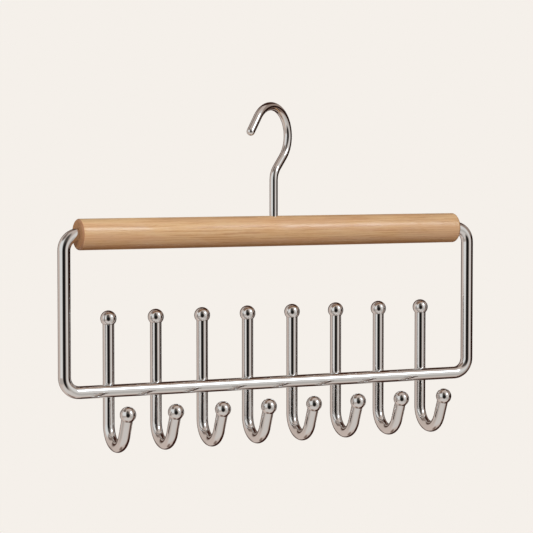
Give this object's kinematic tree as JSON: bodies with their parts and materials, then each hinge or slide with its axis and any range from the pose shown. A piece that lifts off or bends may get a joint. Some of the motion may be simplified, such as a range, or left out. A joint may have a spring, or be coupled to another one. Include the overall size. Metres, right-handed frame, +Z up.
{
  "type": "tie hanger",
  "caption": "Wooden dowel bar closed by a bent chrome rod, whose lower rail carries a row of ball-ended J hooks, hung from a wire hook that turns in the bar.",
  "frame": {"origin": "the point inside the hook's bow, under its crown, that rests on the clothes rail", "axes": "+X along the bar to the right, +Y to the back, so that the J hooks open to -Y, and +Z up"},
  "size_m": [0.337, 0.0459, 0.2463],
  "materials": {
    "wood": "satin lacquer over pale close-grained wood",
    "chrome": "mirror-polished plating",
    "washer_steel": "plain"
  },
  "bodies": {
    "hook": {"hanging_hook": "chrome"},
    "hanger": {"wooden_bar": "wood", "frame_rod": "chrome", "swivel_washer": "washer_steel", "swivel_plug": "wood", "tie_hook_1": "chrome", "tie_hook_2": "chrome", "tie_hook_3": "chrome", "tie_hook_4": "chrome", "tie_hook_5": "chrome", "tie_hook_6": "chrome", "tie_hook_7": "chrome", "tie_hook_8": "chrome", "top_ball_1": "chrome", "top_ball_2": "chrome", "top_ball_3": "chrome", "top_ball_4": "chrome", "top_ball_5": "chrome", "top_ball_6": "chrome", "top_ball_7": "chrome", "top_ball_8": "chrome", "tip_ball_1": "chrome", "tip_ball_2": "chrome", "tip_ball_3": "chrome", "tip_ball_4": "chrome", "tip_ball_5": "chrome", "tip_ball_6": "chrome", "tip_ball_7": "chrome", "tip_ball_8": "chrome"}
  },
  "joints": [
    {"name": "hook_swivel", "type": "hinge", "parent": "hook", "child": "hanger", "pos_m": [0.00297, 0.00158, -0.0872], "axis": [0, 0, 1], "continuous": true}
  ]
}
